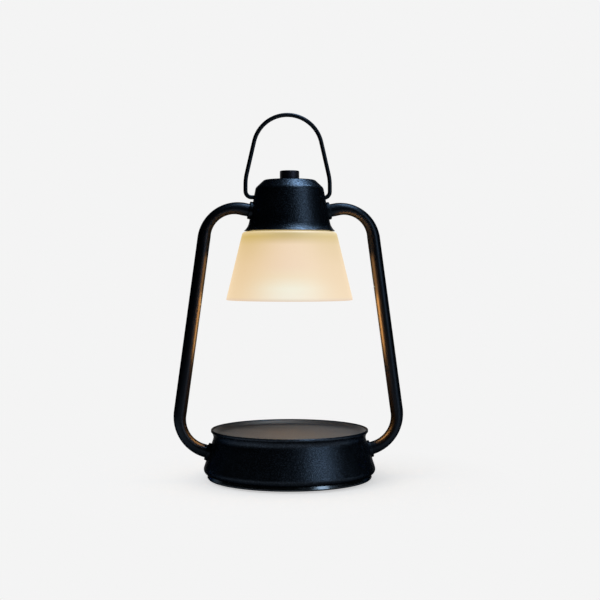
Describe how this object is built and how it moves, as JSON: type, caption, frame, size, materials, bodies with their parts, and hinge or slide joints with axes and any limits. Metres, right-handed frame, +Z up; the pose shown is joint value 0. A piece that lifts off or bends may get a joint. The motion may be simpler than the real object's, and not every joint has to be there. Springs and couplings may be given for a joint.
{
  "type": "candle warmer lamp",
  "caption": "Lantern-shaped electric candle warmer: round base with a plate, bent tube arms, bell cap with dimmer knob and swinging bail, and a frosted glass shade over a downlight bulb.",
  "frame": {"origin": "on the floor under the middle of the round base, in the plane of the feet's undersides", "axes": "+Z up, +X towards the right arm, -Y the side seen in the picture, so +Y is the back with the cord inlet"},
  "size_m": [0.1886, 0.1399, 0.2982],
  "materials": {
    "black_coat": "satin, fine-grained powder coat",
    "plate_grey": "matt, dark anodised",
    "zinc_steel": "zinc plated",
    "gloss_black": "glossy",
    "foot_rubber": "matt",
    "grommet_black": "matt",
    "block_plastic": "matt",
    "contact_brass": "plain",
    "gasket_white": "matt silicone",
    "frosted_glass": "frosted",
    "ring_aluminium": "plain turned",
    "holder_ceramic": "unglazed",
    "reflector_bright": "bright",
    "bulb_glass": "clear, pressed",
    "dimmer_plastic": "moulded",
    "board_green": "lacquered",
    "shaft_aluminium": "plain turned",
    "knob_black": "satin, fine-grained powder coat",
    "lead_blue": "insulated wire",
    "lead_brown": "insulated wire"
  },
  "bodies": {
    "lamp_frame": {"base_shell": "black_coat", "warming_plate": "plate_grey", "plate_washer": "zinc_steel", "plate_nut": "zinc_steel", "bottom_cover": "gloss_black", "cover_screws": "zinc_steel", "feet": "foot_rubber", "cord_grommet": "grommet_black", "terminal_block": "block_plastic", "terminal_screws": "contact_brass", "left_arm": "black_coat", "right_arm": "black_coat", "left_base_collar": "black_coat", "right_base_collar": "black_coat", "left_cap_collar": "black_coat", "right_cap_collar": "black_coat", "base_saddle_washers": "zinc_steel", "base_arm_nuts": "zinc_steel", "cap_saddle_washers": "zinc_steel", "cap_arm_nuts": "zinc_steel", "cap": "black_coat", "shade_carrier": "zinc_steel", "shade_gasket": "gasket_white", "glass_shade": "frosted_glass", "shade_ring": "ring_aluminium", "lamp_holder": "holder_ceramic", "holder_screws": "zinc_steel", "bulb_base": "holder_ceramic", "bulb_pins": "contact_brass", "bulb_reflector": "reflector_bright", "bulb_lens": "bulb_glass", "bulb_capsule": "bulb_glass", "dimmer_body": "dimmer_plastic", "dimmer_board": "board_green", "dimmer_nut": "zinc_steel", "neutral_lead": "lead_blue", "live_lead": "lead_brown", "switch_lead": "lead_brown"},
    "bail": {"bail": "black_coat", "bail_stops": "zinc_steel"},
    "knob": {"dimmer_knob": "knob_black", "dimmer_shaft": "shaft_aluminium"}
  },
  "joints": [
    {"name": "bail_swing", "type": "hinge", "parent": "lamp_frame", "child": "bail", "pos_m": [0, 0, 0.2297], "axis": [1, 0, 0], "range_deg": [-120, 120]},
    {"name": "knob_turn", "type": "hinge", "parent": "lamp_frame", "child": "knob", "pos_m": [0, 0, 0.248], "axis": [0, 0, 1], "range_deg": [-135, 135]}
  ]
}
